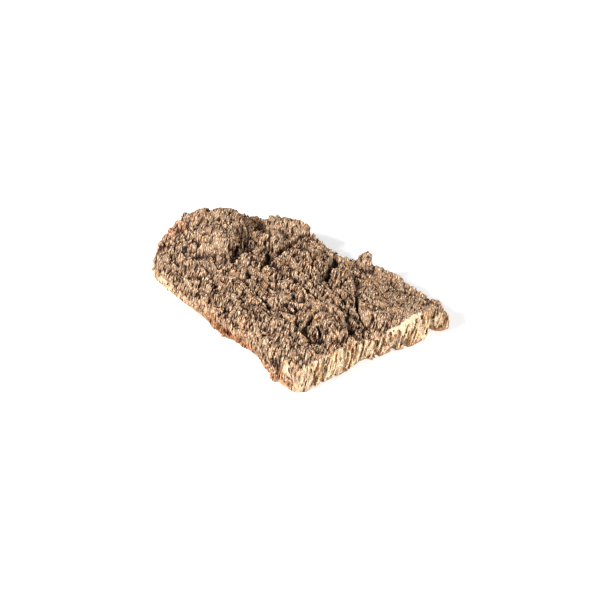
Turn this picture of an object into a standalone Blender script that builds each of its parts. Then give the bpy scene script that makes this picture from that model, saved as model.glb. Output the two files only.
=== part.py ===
"""A slab of virgin cork bark, the thick outer bark of a cork oak, lying on its flat inner face.

The trunk's grain runs along X. The sawn end is at +X, the torn far end at -X, and the two long edges
are at -Y and +Y. The slab grew as one piece, so it is one solid: a four-sided patch for the rugged
outer face, rings of side wall under its rim, and one flat polygon for the inner face at z = 0.
"""

import math

import bmesh
import bpy
from mathutils import Vector, noise

MM = 0.001  # every size below is in millimetres

# The slab: overall length along the grain, and how finely its outer face is divided.
LENGTH_STEPS = 60
WIDTH_STEPS = 40
WALL_STEPS = 4

# Thickness of the bark in the middle, and how far in from each edge the rim's own height is felt,
# as a share of the slab's width or length.
MIDDLE_THICKNESS = 33.0
FRONT_REACH, BACK_REACH, FAR_REACH, SAWN_REACH = 0.22, 0.13, 0.09, 0.07
LEAST_THICKNESS = 9.0

# The wavy relief that covers the whole outer face.
RELIEF_HEIGHT = 3.2
RELIEF_ALONG = 34.0  # the relief is longer along the grain than across it
RELIEF_ACROSS = 17.0
WALL_RELIEF = 1.6
WALL_RELIEF_SIZE = 13.0
WALL_BULGE = 2.5

# The footprint, as four edges that meet at the corners. Each runs from one corner to the next.
FRONT_EDGE = [(-121, -93), (-98, -97), (-62, -96), (-21, -95), (13, -97), (44, -91), (70, -90),
              (84, -95), (98, -96), (120, -100), (140, -89)]
SAWN_END = [(140, -89), (141, -60), (142, -36), (138, -9), (144, 7), (145, 24), (151, 39), (151, 60),
            (147, 72), (133, 79), (149, 84), (155, 97)]
BACK_EDGE = [(-126, 26), (-107, 38), (-80, 57), (-58, 65), (-28, 62), (2, 64), (24, 70), (33, 80),
             (50, 83), (62, 88), (83, 91), (121, 92), (147, 99), (155, 97)]
FAR_END = [(-121, -93), (-134, -80), (-142, -63), (-149, -47), (-154, -29), (-154, -14), (-148, 4),
           (-126, 26)]

# Height of the rim along each of those edges, evenly spaced from its first corner to its last.
FRONT_RIM = [14, 14, 14, 16, 21, 27, 31, 34, 36, 36, 31]
SAWN_RIM = [31, 38, 39, 36, 30, 28, 32, 37, 38, 30, 25]
BACK_RIM = [36, 36, 39, 39, 36, 33, 32, 30, 29, 28, 26]
FAR_RIM = [14, 25, 32, 35, 36, 36, 38, 39, 36]

# Raised and sunken places: centre x, y, half length, half width, turn in degrees, height.
MOUNDS = [
    ("knotted_hump", -106, -18, 34, 27, 10, 15.0),
    ("hump_lip", -74, -27, 20, 13, -10, 8.0),
    ("far_crest", -92, 12, 22, 12, 35, 6.0),
    ("back_ridge", -62, 48, 26, 12, 25, 11.0),
    ("ridge_spur", -57, 22, 11, 9, 0, 6.0),
    ("basin", -90, 38, 15, 13, 20, -6.0),
    ("middle_plate", 0, 26, 28, 24, -20, 4.0),
    ("back_flat", 72, 64, 44, 26, 0, -5.5),
    ("back_knob", 38, 78, 9, 8, 0, 14.0),
    ("oval_plate", 112, -23, 22, 15, -10, 5.5),
    ("end_plate", 116, 25, 22, 15, -25, 4.0),
    ("corner_pit", 118, -48, 8, 7, 0, -9.0),
    ("corner_swell", 96, -72, 34, 14, 0, 3.0),
    ("front_furrow", 20, -52, 60, 7, -4, -3.5),
    ("sawn_edge_dip", 146, -8, 14, 16, 0, -5.0),
    ("loose_chunk", 150, 93, 12, 12, 0, -3.0),
]

# Open cracks between the plates: half width, depth, and the line each one follows.
CRACKS = [
    ("hollow_under_hump", 8.0, 14.0, [(-84, 6), (-74, -6), (-61, -12)]),
    ("crack_below_spur", 6.5, 8.0, [(-54, 22), (-43, 8), (-33, -4), (-27, -18)]),
    ("crack_below_ridge", 6.5, 9.0, [(-52, 31), (-46, 42), (-41, 58)]),
    ("plate_edge", 6.5, 6.0, [(7, 59), (25, 35), (33, 20)]),
    ("end_crack", 6.0, 4.0, [(65, 43), (86, 29), (115, 13), (135, 5)]),
]


def curve_through(points, share):
    """The point at this share of the way along a smooth Catmull-Rom curve through the points."""
    spans = [math.dist(a, b) for a, b in zip(points, points[1:])]
    distance = min(max(share, 0.0), 1.0) * sum(spans)
    span = 0
    while span < len(spans) - 1 and distance > spans[span]:
        distance -= spans[span]
        span += 1
    t = distance / spans[span]
    a, b = Vector(points[span]), Vector(points[span + 1])
    before = Vector(points[span - 1]) if span else 2 * a - b
    after = Vector(points[span + 2]) if span + 2 < len(points) else 2 * b - a
    slope_a, slope_b = (b - before) / 2, (after - a) / 2
    return (
        a * (2 * t**3 - 3 * t**2 + 1)
        + slope_a * (t**3 - 2 * t**2 + t)
        + b * (3 * t**2 - 2 * t**3)
        + slope_b * (t**3 - t**2)
    )


def footprint_point(u, v):
    """A Coons patch over the four edges: u runs along the grain, v from the front edge to the back one."""
    front, back = curve_through(FRONT_EDGE, u), curve_through(BACK_EDGE, u)
    far, sawn = curve_through(FAR_END, v), curve_through(SAWN_END, v)
    corners = (
        Vector(FRONT_EDGE[0]) * (1 - u) * (1 - v)
        + Vector(FRONT_EDGE[-1]) * u * (1 - v)
        + Vector(BACK_EDGE[0]) * (1 - u) * v
        + Vector(BACK_EDGE[-1]) * u * v
    )
    return front * (1 - v) + back * v + far * (1 - u) + sawn * u - corners


def rim_height(heights, share):
    """The rim's height at this share of the way along an edge, eased between the listed ones."""
    place = min(max(share, 0.0), 1.0) * (len(heights) - 1)
    before = min(int(place), len(heights) - 2)
    ease = (1 - math.cos(math.pi * (place - before))) / 2
    return heights[before] * (1 - ease) + heights[before + 1] * ease


def falling_off(distance, reach):
    """1 at the edge, fading smoothly to 0 further in than its reach."""
    return math.exp(-((distance / reach) ** 2))


def mound_height(x, y, centre_x, centre_y, half_length, half_width, turn, height):
    """A flat-topped mound with steep flanks, or a sunken place where the height is negative."""
    angle = math.radians(turn)
    dx, dy = x - centre_x, y - centre_y
    along = (dx * math.cos(angle) + dy * math.sin(angle)) / half_length
    across = (dy * math.cos(angle) - dx * math.sin(angle)) / half_width
    return height * math.exp(-((along**2 + across**2) ** 1.5))


def crack_depth(x, y, half_width, depth, line):
    """How far a crack along this line cuts down at a point, tapering to nothing at its two ends."""
    point, best, length_before, whole = Vector((x, y)), 0.0, 0.0, 0.0
    spans = [(Vector(a), Vector(b)) for a, b in zip(line, line[1:])]
    whole = sum((b - a).length for a, b in spans)
    for a, b in spans:
        t = min(max((point - a).dot(b - a) / (b - a).length_squared, 0.0), 1.0)
        gap = (point - a.lerp(b, t)).length
        share = (length_before + t * (b - a).length) / whole
        taper = min(1.0, 4 * share + 0.3, 4 * (1 - share) + 0.3)
        best = max(best, depth * taper * math.exp(-((gap / half_width) ** 2)))
        length_before += (b - a).length
    return best


def thickness(u, v):
    """Height of the outer face above the inner one, in millimetres."""
    x, y = footprint_point(u, v)
    front, back = falling_off(v, FRONT_REACH), falling_off(1 - v, BACK_REACH)
    far, sawn = falling_off(u, FAR_REACH), falling_off(1 - u, SAWN_REACH)
    along = (rim_height(FRONT_RIM, u) - MIDDLE_THICKNESS) * front
    along += (rim_height(BACK_RIM, u) - MIDDLE_THICKNESS) * back
    across = (rim_height(FAR_RIM, v) - MIDDLE_THICKNESS) * far
    across += (rim_height(SAWN_RIM, v) - MIDDLE_THICKNESS) * sawn
    nearness = (max(front, back) + 1e-6) / (max(front, back) + max(far, sawn) + 2e-6)
    height = MIDDLE_THICKNESS + along * nearness + across * (1 - nearness)
    height += sum(mound_height(x, y, *shape) for _, *shape in MOUNDS)
    height -= sum(crack_depth(x, y, *shape) for _, *shape in CRACKS)
    place = Vector((x / RELIEF_ALONG, y / RELIEF_ACROSS, 0.0))
    height += RELIEF_HEIGHT * noise.fractal(place, 0.8, 2.2, 3)
    return max(height, LEAST_THICKNESS)


def rim_places():
    """(u, v) of each point of the rim, once round, counter-clockwise seen from above."""
    along = [(i / LENGTH_STEPS, 0.0) for i in range(LENGTH_STEPS)]
    up = [(1.0, j / WIDTH_STEPS) for j in range(WIDTH_STEPS)]
    back = [(1 - i / LENGTH_STEPS, 1.0) for i in range(LENGTH_STEPS)]
    down = [(0.0, 1 - j / WIDTH_STEPS) for j in range(WIDTH_STEPS)]
    return along + up + back + down


def wall_point(rim, before, after, level):
    """A point of the side wall below a rim point: level is 0 at the inner face and 1 at the rim."""
    outward = Vector((after.y - before.y, before.x - after.x)).normalized()
    swell = WALL_BULGE * MM * math.sin(math.pi * level)
    place = Vector((rim.x, rim.y, rim.z * level)) / (WALL_RELIEF_SIZE * MM)
    rough = WALL_RELIEF * MM * noise.noise(place) * math.sin(math.pi * level)
    foot = Vector((rim.x, rim.y)) + outward * (swell + rough)
    return Vector((foot.x, foot.y, rim.z * level))


def build_bark():
    """The closed mesh of the slab."""
    mesh = bmesh.new()
    grid = [
        [
            mesh.verts.new((*(footprint_point(u, v) * MM), thickness(u, v) * MM))
            for v in (j / WIDTH_STEPS for j in range(WIDTH_STEPS + 1))
        ]
        for u in (i / LENGTH_STEPS for i in range(LENGTH_STEPS + 1))
    ]
    for i in range(LENGTH_STEPS):
        for j in range(WIDTH_STEPS):
            mesh.faces.new((grid[i][j], grid[i + 1][j], grid[i + 1][j + 1], grid[i][j + 1]))
    rim = [grid[round(u * LENGTH_STEPS)][round(v * WIDTH_STEPS)] for u, v in rim_places()]
    upper = rim
    count = len(rim)
    for step in range(WALL_STEPS - 1, -1, -1):
        lower = [
            mesh.verts.new(
                wall_point(rim[k].co, rim[k - 1].co, rim[(k + 1) % count].co, step / WALL_STEPS)
            )
            for k in range(count)
        ]
        for k in range(count):
            after = (k + 1) % count
            mesh.faces.new((lower[k], lower[after], upper[after], upper[k]))
        upper = lower
    mesh.faces.new(reversed(upper))
    bmesh.ops.recalc_face_normals(mesh, faces=mesh.faces)
    return mesh


def rest_on_origin(mesh):
    """Moves the slab so that the middle of its box's underside is the origin."""
    middle = [
        (min(v.co[axis] for v in mesh.verts) + max(v.co[axis] for v in mesh.verts)) / 2
        for axis in (0, 1)
    ]
    lowest = min(v.co.z for v in mesh.verts)
    bmesh.ops.translate(mesh, verts=mesh.verts, vec=(-middle[0], -middle[1], -lowest))


def bark_material():
    material = bpy.data.materials.new("cork_bark")
    material.use_nodes = True
    shader = material.node_tree.nodes["Principled BSDF"]
    shader.inputs["Base Color"].default_value = (0.36, 0.24, 0.15, 1.0)
    shader.inputs["Roughness"].default_value = 0.92
    shader.inputs["Metallic"].default_value = 0.0
    return material


def main():
    for old in list(bpy.data.objects):
        bpy.data.objects.remove(old)
    solid = build_bark()
    rest_on_origin(solid)
    mesh = bpy.data.meshes.new("cork_bark")
    solid.to_mesh(mesh)
    solid.free()
    mesh.materials.append(bark_material())
    bark = bpy.data.objects.new("cork_bark", mesh)
    bpy.context.scene.collection.objects.link(bark)


main()
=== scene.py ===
# %% [markdown]
# # A slab of virgin cork bark
#
# This lesson turns a plain packed slab into a piece of cork bark that holds up close to the eye. The
# slab is one natural thing, so it stays one mesh: nothing is stuck on, everything is grown out of
# or cut into the same solid. All places are in the slab's own frame: X along the trunk's grain with
# the sawn end at +X, Y across it, and Z out through the rugged face. Lengths are in millimetres
# until the mesh is made.

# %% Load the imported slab
import math

import bpy
import numpy as np
import openvdb
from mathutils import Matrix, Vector


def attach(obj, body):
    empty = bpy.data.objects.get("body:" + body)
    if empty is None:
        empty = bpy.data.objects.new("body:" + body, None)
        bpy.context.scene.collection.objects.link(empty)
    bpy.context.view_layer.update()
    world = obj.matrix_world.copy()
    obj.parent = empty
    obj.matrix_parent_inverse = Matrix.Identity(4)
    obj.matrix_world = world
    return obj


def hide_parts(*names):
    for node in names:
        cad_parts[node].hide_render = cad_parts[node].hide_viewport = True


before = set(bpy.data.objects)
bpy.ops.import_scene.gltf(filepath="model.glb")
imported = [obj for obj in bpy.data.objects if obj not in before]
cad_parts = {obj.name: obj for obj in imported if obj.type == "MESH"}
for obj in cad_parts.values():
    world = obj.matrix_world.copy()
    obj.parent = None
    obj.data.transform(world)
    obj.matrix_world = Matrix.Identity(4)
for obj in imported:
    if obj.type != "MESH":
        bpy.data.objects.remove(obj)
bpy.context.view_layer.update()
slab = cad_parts["cork_bark"]
MM = 1000.0  # millimetres in a metre

# %% [markdown]
# ## The slab as a field of distances
#
# Bark is full of overhanging flakes and holes, which a displaced grid of faces can't follow. So the
# packed slab is read as a field: a block of small cubes (voxels), each holding its distance to the
# surface, less than nothing inside. Raising or carving the bark is then adding to or subtracting
# from that number, and the surface is drawn at the end where the number is zero.

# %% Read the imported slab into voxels
VOXEL = 0.8
MARGIN = 12.0  # empty room round the slab for what is grown out of it
BAND = 14  # how many voxels away from the surface the distances are still known

slab.data.calc_loop_triangles()
corners = np.array([v.co for v in slab.data.vertices], np.float32) * MM
triangles = np.array([t.vertices for t in slab.data.loop_triangles], np.uint32)
low = np.floor((corners.min(0) - MARGIN) / VOXEL).astype(int)
high = np.ceil((corners.max(0) + MARGIN) / VOXEL).astype(int)
X, Y, Z = (np.arange(a, b, dtype=np.float32) * VOXEL for a, b in zip(low, high))
voxel_grid = openvdb.createLinearTransform(voxelSize=VOXEL)
vdb = openvdb.FloatGrid.createLevelSetFromPolygons(
    corners, triangles=triangles, transform=voxel_grid, halfWidth=BAND
)
field = np.empty((len(X), len(Y), len(Z)), np.float32)
vdb.copyToArray(field, ijk=tuple(int(i) for i in low))
print("voxels:", field.shape, "of", VOXEL, "mm")

# %% [markdown]
# ## Softening the field
#
# Two small tools are used all the way through. A blur takes the mean over a cube, and running totals
# make it as quick for a wide cube as for a narrow one. A ramp turns any measure into a weight
# from 0 to 1 with eased ends, so that one kind of bark fades into the next without a line.


# %% Blur and ramp
def blurred(block, reach):
    """The mean of a block over a cube that reaches this many millimetres each way."""
    steps = max(1, round(reach / VOXEL))
    for axis in range(block.ndim):
        pad = [(0, 0)] * block.ndim
        pad[axis] = (steps + 1, steps)
        total = np.cumsum(np.pad(block, pad, mode="edge"), axis=axis, dtype=np.float64)
        size = block.shape[axis]
        upper = np.take(total, np.arange(2 * steps + 1, 2 * steps + 1 + size), axis=axis)
        lower = np.take(total, np.arange(0, size), axis=axis)
        block = ((upper - lower) / (2 * steps + 1)).astype(np.float32)
    return block


def ramp(value, start, stop):
    """0 below start, 1 above stop, and an eased slope between."""
    t = np.clip((value - start) / (stop - start), 0.0, 1.0)
    return t * t * (3 - 2 * t)


print("a ramp from 0 to 10 gives", [round(float(ramp(v, 0.0, 10.0)), 2) for v in (1.0, 3.0, 5.0, 9.0)])

# %% [markdown]
# ## The worn front edge
#
# The solid's front edge is crisp, but on the slab it has broken and weathered round. Blurring the
# field there by several millimetres rounds it over, more so towards the top. Which way each part faces
# is then measured as the slope of a softened field: the relief of the top differs from the sides'.

# %% Round the front edge over and measure which way each part faces
field = blurred(field, VOXEL)
front = slice(0, int(np.searchsorted(Y, -56.0)))
FRONT_BLUR = 6.4
weathered = ramp(-Y[front], 64.0, 84.0)[None, :, None] * ramp(Z, 5.0, 12.0)[None, None, :]
field[:, front] += weathered * (blurred(field[:, front], FRONT_BLUR) - field[:, front])
smooth = blurred(field, 2.4)
slope_x, slope_y, slope_z = np.gradient(smooth)
facing_up = slope_z / np.maximum(np.sqrt(slope_x**2 + slope_y**2 + slope_z**2), 1e-6)
del slope_z, smooth
print("share of the field that faces up:", round(float((facing_up > 0.5).mean()), 2))

# %% [markdown]
# ## Random lumps and chips
#
# Two kinds of randomness make bark. Soft noise gives rolling lumps and furrows. Cells, which cut
# space into random angular pieces, give chips that stand at different heights with gaps between
# them. Both read one seeded table of numbers, so the slab comes out the same each time.

# %% The table of random numbers
SIDE = 64
TABLES = np.random.default_rng(21).random((4, SIDE**3), dtype=np.float32)


def table_place(ix, iy, iz):
    """Where a cell with these whole-number places keeps its random numbers."""
    return ((ix & (SIDE - 1)) * SIDE + (iy & (SIDE - 1))) * SIDE + (iz & (SIDE - 1))


def split(values, seed):
    """The whole-number part of each value, moved on by the seed, and what is left over."""
    whole = np.floor(values)
    return whole.astype(np.int32) + seed, values - whole


print(TABLES.shape[0], "tables of", TABLES.shape[1], "numbers, mean", round(float(TABLES.mean()), 3))


# %% Soft noise
def soft_noise(x, y, z, seed):
    """Soft lumps about one unit across, from -1 to 1."""
    (ix, tx), (iy, ty), (iz, tz) = split(x, seed * 7), split(y, seed * 13), split(z, seed * 5)
    tx, ty, tz = (t * t * (3 - 2 * t) for t in (tx, ty, tz))
    total = 0.0
    for dx in (0, 1):
        for dy in (0, 1):
            side = (tx if dx else 1 - tx) * (ty if dy else 1 - ty)
            for dz in (0, 1):
                value = TABLES[0][table_place(ix + dx, iy + dy, iz + dz)]
                total = total + side * (tz if dz else 1 - tz) * value
    return 2 * total - 1


def layered_noise(x, y, z, seed, layers=3):
    """Soft noise with smaller and weaker lumps on the larger ones."""
    total, size = 0.0, 1.0
    for layer in range(layers):
        total = total + soft_noise(x * size, y * size, z * size, seed + layer) / size
        size *= 2.0
    return total


sample = soft_noise(*np.random.default_rng(5).uniform(0, 50, (3, 2000)), 3)
print("soft noise runs from", round(float(sample.min()), 2), "to", round(float(sample.max()), 2))


# %% Cells
def cells(x, y, z, seed):
    """Angular cells one unit across: each one's random number, and the distance to its wall."""
    (ix, tx), (iy, ty), (iz, tz) = split(x, seed * 11), split(y, seed * 3), split(z, seed * 17)
    nearest = np.full(x.shape, 9.0, np.float32)
    second = nearest.copy()
    owner = np.zeros(x.shape, np.int32)
    for dx in (-1, 0, 1):
        for dy in (-1, 0, 1):
            for dz in (-1, 0, 1):
                place = table_place(ix + dx, iy + dy, iz + dz)
                gap = (TABLES[1][place] + dx - tx) ** 2
                gap += (TABLES[2][place] + dy - ty) ** 2
                gap += (TABLES[3][place] + dz - tz) ** 2
                closer = gap < nearest
                second = np.where(closer, nearest, np.minimum(second, gap))
                owner = np.where(closer, place, owner)
                nearest = np.minimum(nearest, gap)
    return TABLES[0][owner], np.sqrt(second) - np.sqrt(nearest)


_, sample = cells(*np.random.default_rng(6).uniform(0, 50, (3, 2000)), 3)
print("the middle of a cell is up to", round(float(sample.max()), 2), "from its wall")

# %% [markdown]
# ## Leaning facets
#
# A block that has split off along its growth layers keeps a flat top, and that top is seldom level. A
# facet is a cell on the plan whose top leans its own way, with a narrow gap along its walls. Seen
# together, they catch the light like broken cork, which soft noise never does.


# %% Facets
def facets(x, y, seed, lean=1.2):
    """Angular blocks one unit across on the plan: each one's leaning height, and its number."""
    (ix, tx), (iy, ty) = split(x, seed * 11), split(y, seed * 3)
    nearest = np.full(x.shape, 9.0, np.float32)
    second, off_x, off_y = nearest.copy(), np.zeros_like(nearest), np.zeros_like(nearest)
    owner = np.zeros(x.shape, np.int32)
    for dx in (-1, 0, 1):
        for dy in (-1, 0, 1):
            place = table_place(ix + dx, iy + dy, seed)
            gap_x, gap_y = TABLES[1][place] + dx - tx, TABLES[2][place] + dy - ty
            gap = gap_x**2 + gap_y**2
            closer = gap < nearest
            second = np.where(closer, nearest, np.minimum(second, gap))
            owner = np.where(closer, place, owner)
            off_x, off_y = np.where(closer, gap_x, off_x), np.where(closer, gap_y, off_y)
            nearest = np.minimum(nearest, gap)
    number, wall = TABLES[0][owner], np.sqrt(second) - np.sqrt(nearest)
    tilt_x, tilt_y = TABLES[3][owner] - 0.5, TABLES[1][owner] - 0.5
    height = number - 0.5 + lean * (tilt_x * off_x + tilt_y * off_y)
    return height - 0.35 * (1 - ramp(wall, 0.0, 0.22)), number


sample, _ = facets(*np.random.default_rng(7).uniform(0, 50, (2, 2000)), 3)
print("facets stand from", round(float(sample.min()), 2), "to", round(float(sample.max()), 2))


# %% [markdown]
# ## The plates, ledges and cracks that can be named
#
# Before any random detail, the large forms are set out one by one, as a sculptor would block them in.
# A ledge is a line with higher bark on its left that fades away from the edge, a bead is a thin
# raised rim, and a crack is a groove. They are drawn on a map of heights over the slab's plan.

# %% Lines on the slab's plan
MAP_X, MAP_Y = np.meshgrid(X, Y, indexing="ij")
flat = np.zeros_like(MAP_X)
print("the plan is a map of", MAP_X.shape, "heights")


def along_line(line):
    """Signed distance from a line, plus on its left, and a weight that fades past its two ends."""
    points = [np.array(p, np.float32) for p in line]
    lengths = [float(np.linalg.norm(b - a)) for a, b in zip(points, points[1:])]
    nearest = np.full(MAP_X.shape, 1e9, np.float32)
    signed, overshoot = np.zeros_like(nearest), np.zeros_like(nearest)
    for number, (a, b) in enumerate(zip(points, points[1:])):
        step = (b - a) / lengths[number]
        dx, dy = MAP_X - a[0], MAP_Y - a[1]
        forward = dx * step[0] + dy * step[1]
        inside = np.clip(forward, 0.0, lengths[number])
        gap = np.hypot(dx - inside * step[0], dy - inside * step[1])
        left = step[0] * dy - step[1] * dx
        past = np.zeros_like(gap)
        if number == 0:
            past = np.maximum(past, -forward)
        if number == len(lengths) - 1:
            past = np.maximum(past, forward - lengths[number])
        closer = gap < nearest
        nearest = np.where(closer, gap, nearest)
        signed = np.where(closer, np.sign(left) * gap, signed)
        overshoot = np.where(closer, past, overshoot)
    return signed, np.exp(-((overshoot / 5.0) ** 2))


# %% A ledge and a bead
def ledge(line, rise, fade, dip, dip_fade=5.0):
    """Heights of a ledge, and the strip along it: plus on its worn rim and minus in the gap below, where
    shade is painted.
    """
    signed, weight = along_line(line)
    signed = signed + 1.6 * soft_noise(MAP_X / 6, MAP_Y / 6, flat, 2)
    raised = rise * np.exp(-np.maximum(signed, 0.0) / fade) * ramp(signed, -0.6, 0.6)
    sunk = dip * np.exp(-np.maximum(-signed, 0.0) / dip_fade) * (1 - ramp(signed, -0.6, 0.6))
    rim = ramp(signed, -0.4, 0.4) * (1 - ramp(signed, 1.6, 2.8))
    gap = ramp(signed, -3.2, -2.0) * (1 - ramp(signed, -0.8, 0.0))
    return (raised - sunk) * weight, (rim - gap) * weight


def bead(line, height, width):
    """Heights of a thin rim raised along a line."""
    signed, weight = along_line(line)
    return height * np.exp(-((signed / width) ** 2)) * weight


sample, _ = ledge([(0, 0), (30, 0)], 5.0, 18, 5.0)
print("a ledge 5 mm high runs from", round(float(sample.min()), 1), "to", round(float(sample.max()), 1))


# %% Heights of the named forms
LEDGES = [  # name, rise, how far it fades, dip at its foot, line
    ("hump_back", 5.0, 18, 5.0, [(-60, 3), (-77, 7), (-98, 12), (-127, 18)]),
    ("hump_lip", 6.0, 16, 3.0, [(-86, -52), (-74, -45), (-64, -36), (-60, -24), (-66, -13), (-74, -4)]),
    ("hump_fold", 2.5, 14, 2.0, [(-80, -28), (-90, -39), (-104, -42), (-122, -38)]),
    ("cross_ridge", 4.5, 12, 3.0, [(-38, 16), (-42, 26), (-45, 38), (-45, 52), (-40, 62)]),
    ("basin_terrace", 1.6, 12, 2.0, [(-116, 54), (-102, 52), (-84, 44), (-72, 34), (-58, 26)]),
    ("middle_ridge", 5.0, 20, 2.5, [(34, 14), (31, 22), (25, 35), (14, 47), (8, 60)]),
    ("middle_step", 3.0, 12, 2.0, [(-10, 40), (2, 36), (-2, 46), (-4, 58)]),
    ("near_fold", 3.4, 9, 2.5, [(70, -6), (59, -1), (46, -5), (32, -8), (16, -6)]),
    ("second_fold", 2.8, 8, 2.0, [(70, 14), (58, 13), (46, 12), (34, 8)]),
    ("third_fold", 2.4, 7, 2.0, [(74, 22), (58, 24), (42, 18), (30, 12)]),
    ("front_fold", 3.4, 9, 2.4, [(74, -10), (66, -12), (58, -22), (44, -32), (28, -38)]),
    ("low_front_fold", 2.6, 8, 2.0, [(80, -32), (75, -34), (66, -44), (52, -52), (34, -52)]),
    ("oval_plate", 4.5, 16, 2.4, [
        (122, -44), (130, -38), (131, -30), (127, -20), (115, -12), (102, -5), (90, -3),
    ]),
    ("beside_oval", 2.8, 10, 2.2, [(92, -52), (87, -42), (82, -30), (81, -20)]),
    ("end_plate_foot", 3.2, 15, 1.6, [(102, 14), (121, 7), (136, 5)]),
    ("end_plate_rim", 2.2, 12, 1.4, [
        (134, 18), (132, 27), (129, 34), (118, 43), (108, 42), (99, 38), (94, 29), (93, 21),
    ]),
    ("back_flat_edge", 2.8, 10, 2.0, [(88, 22), (72, 34), (60, 46), (44, 52)]),
    ("far_front_terrace", 3.0, 12, 2.0, [(30, -50), (0, -46), (-30, -50), (-50, -58)]),
    ("near_front_terrace", 3.0, 10, 2.4, [(110, -58), (84, -60), (60, -66), (36, -64)]),
]
BEADS = [  # name, height, half width, line
    ("end_plate_bead", 2.4, 1.6, [(94, 24), (95, 31), (100, 38), (108, 41), (118, 43), (127, 37)]),
    ("spur", 3.0, 2.0, [(-49, -6), (-53, 2), (-55, 10)]),
    ("front_curl", 2.0, 1.8, [(64, -46), (70, -40), (77, -34)]),
    ("middle_curl", 2.0, 2.2, [(55, -24), (61, -19), (66, -13)]),
]
LEDGE_RISE, LEDGE_DIP = 1.7, 1.9  # the listed rises and dips are made this many times greater
# The strips along the ledges and beads are kept for the finish: their rims are worn paler, and the gap at
# each ledge's foot is painted darker as shade.
height_map, worn_rim_and_shade_map = np.zeros_like(MAP_X), np.zeros_like(MAP_X)
for _, rise, fade, dip, line in LEDGES:
    raised, edges = ledge(line, LEDGE_RISE * rise, fade, LEDGE_DIP * dip)
    height_map += raised
    worn_rim_and_shade_map = np.where(np.abs(edges) > np.abs(worn_rim_and_shade_map), edges, worn_rim_and_shade_map)
for _, height, width, line in BEADS:
    height_map += bead(line, height, width)
    worn_rim_and_shade_map = np.maximum(worn_rim_and_shade_map, bead(line, 1.0, width))
print(len(LEDGES), "ledges and", len(BEADS), "beads, from", height_map.min(), "to", height_map.max(), "mm")

# %% [markdown]
# ## Furrows, plates and chips
#
# Between the named forms the bark swells into long plates with furrows between them, all running
# with the trunk. Cork grows in yearly layers, so where it weathers, it leaves small terraces. The
# far end and the front edge have crumbled to an even rubble, and a flat behind the end plate is
# nearly bare. A weight for each kind of bark says where on the plan it lies.

# %% Where the bark is plated, furrowed, or calm
sway = 6.0 * soft_noise(MAP_X / 28, MAP_Y / 28, flat, 3)
wander = 2.2 * soft_noise(MAP_X / 8, MAP_Y / 8, flat, 19)
platey = ramp(MAP_X + 0.5 * MAP_Y, -60.0, 30.0) * ramp(MAP_Y, -85.0, -60.0)
calm = ramp(MAP_X, 46.0, 62.0) * ramp(MAP_Y, 34.0, 50.0)
furrowed = ramp(MAP_X, -25.0, 10.0) * (1 - ramp(MAP_X, 80.0, 95.0))
furrowed *= ramp(MAP_Y, -72.0, -50.0) * (1 - ramp(MAP_Y, 14.0, 26.0))
for name, weight in (("plated", platey), ("calm", calm), ("furrowed", furrowed)):
    print(name, "share of the plan:", round(float(weight.mean()), 2))


# %% Valleys and terraces
def valleys(across_x, across_y, seed, sharpness):
    """Rounded swells with sharp valleys between them, from -1 in the valleys to 0."""
    swell = np.abs(layered_noise((MAP_X + sway) / across_x, (MAP_Y + sway) / across_y, flat, seed, 2))
    return -np.maximum(1 - swell * sharpness, 0.0) ** 2


def terraced(height, step):
    """The same heights gathered into steps with short risers between them."""
    level = height / step
    return step * (np.floor(level) + ramp(level - np.floor(level), 0.36, 0.64))


print("terraces of 2 mm turn 3.5 mm into", round(float(terraced(3.5, 2.0)), 2))


# %% Add the furrows, plates and blocks to the heights
swells = 3.6 * layered_noise((MAP_X + sway) / 27, (MAP_Y + sway) / 12, flat, 4, 3)
height_map += (0.3 + 0.7 * platey) * (1 - 0.65 * calm) * terraced(swells, 2.3)
height_map += 5.0 * valleys(34, 13, 5, 3.0) * (0.35 + 0.65 * platey) * (1 - 0.6 * calm)
height_map += 5.5 * valleys(30, 7, 24, 2.2) * furrowed
height_map += 1.2 * valleys(14, 9, 6, 2.5) * (1 - 0.8 * calm)
print("with furrows, heights reach", round(float(height_map.max()), 1), "mm")

# %% Add blocks that split off along the grain
big_blocks, _ = facets((MAP_X + 2 * wander) / 15, (MAP_Y + 2 * wander) / 10, 20)
blocks, _ = facets((MAP_X + wander) / 8.5, (MAP_Y + wander) / 5.5, 22)
slivers, _ = facets((MAP_X + 1.5 * wander) / 16, (MAP_Y + 1.5 * wander) / 4.6, 29)
height_map += (4.0 * big_blocks + 0.5 * blocks + 2.0 * platey * slivers) * (1 - 0.75 * calm) + 0.6
print("with blocks, heights reach", round(float(height_map.max()), 1), "mm")

# %% [markdown]
# ## Chips, swellings and pits
#
# The smallest flakes all lie slantwise across the grain. They are facets six by two millimetres,
# turned that way. All the detail is then kept within a few millimetres of its own softened shape, so
# that nothing sticks out like a thorn, and only then are the broad swellings added, such as the
# lobes of the hump.


# %% Chips laid across the grain
def across_grain(x, y):
    """How far a place lies along and across the way the chips point, in millimetres."""
    return 0.83 * y - 0.56 * x, 0.83 * x + 0.56 * y


def chip_relief(x, y, drift):
    """Chips about six by two millimetres that lie slantwise across the grain: height and number."""
    along, across = across_grain(x, y)
    return facets((along + drift) / 6.0, (across + drift) / 2.1, 23, 1.6)


chip_heights, _ = chip_relief(MAP_X, MAP_Y, wander)
height_map += 1.0 * chip_heights * (1 - 0.45 * calm)
mean_height = blurred(height_map, 7.2)
DEEPEST, PROUDEST = -5.5, 2.6  # how far detail may stand from its softened shape
height_map = mean_height + np.clip(height_map - mean_height, DEEPEST, PROUDEST)
print("chips stand up to", round(float(chip_heights.max()), 2), "mm high")

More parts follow.
